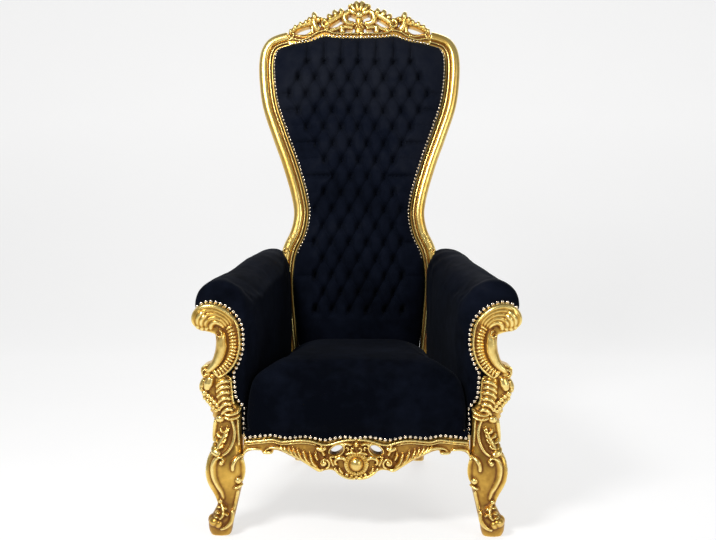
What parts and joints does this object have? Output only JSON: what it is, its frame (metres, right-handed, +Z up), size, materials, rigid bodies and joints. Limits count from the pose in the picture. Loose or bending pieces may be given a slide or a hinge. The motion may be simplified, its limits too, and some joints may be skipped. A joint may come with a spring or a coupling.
{
  "type": "throne",
  "caption": "High-backed carved and gilded armchair with a pierced crest, deep-buttoned velvet back, rolled arms and cabriole front legs.",
  "frame": {"origin": "on the floor, under the middle of the throne", "axes": "+Z up, the front faces -Y, +X is the viewer's right"},
  "size_m": [0.9544, 0.8654, 1.6936],
  "materials": {
    "gilding": "carved wood under burnished gold leaf, worn to orange-brown in the hollows",
    "velvet": "black velvet with a blue-green sheen",
    "nails": "polished domed upholstery nails"
  },
  "bodies": {
    "root": {"front_post_left": "gilding", "front_post_right": "gilding", "front_rail": "gilding", "side_rail_left": "gilding", "side_rail_right": "gilding", "back_rail": "gilding", "back_post_left": "gilding", "back_post_right": "gilding", "crest_rail": "gilding", "back_pad": "velvet", "outside_back": "velvet", "arm_pad_left": "velvet", "arm_pad_right": "velvet", "seat_pad": "velvet"}
  },
  "joints": []
}
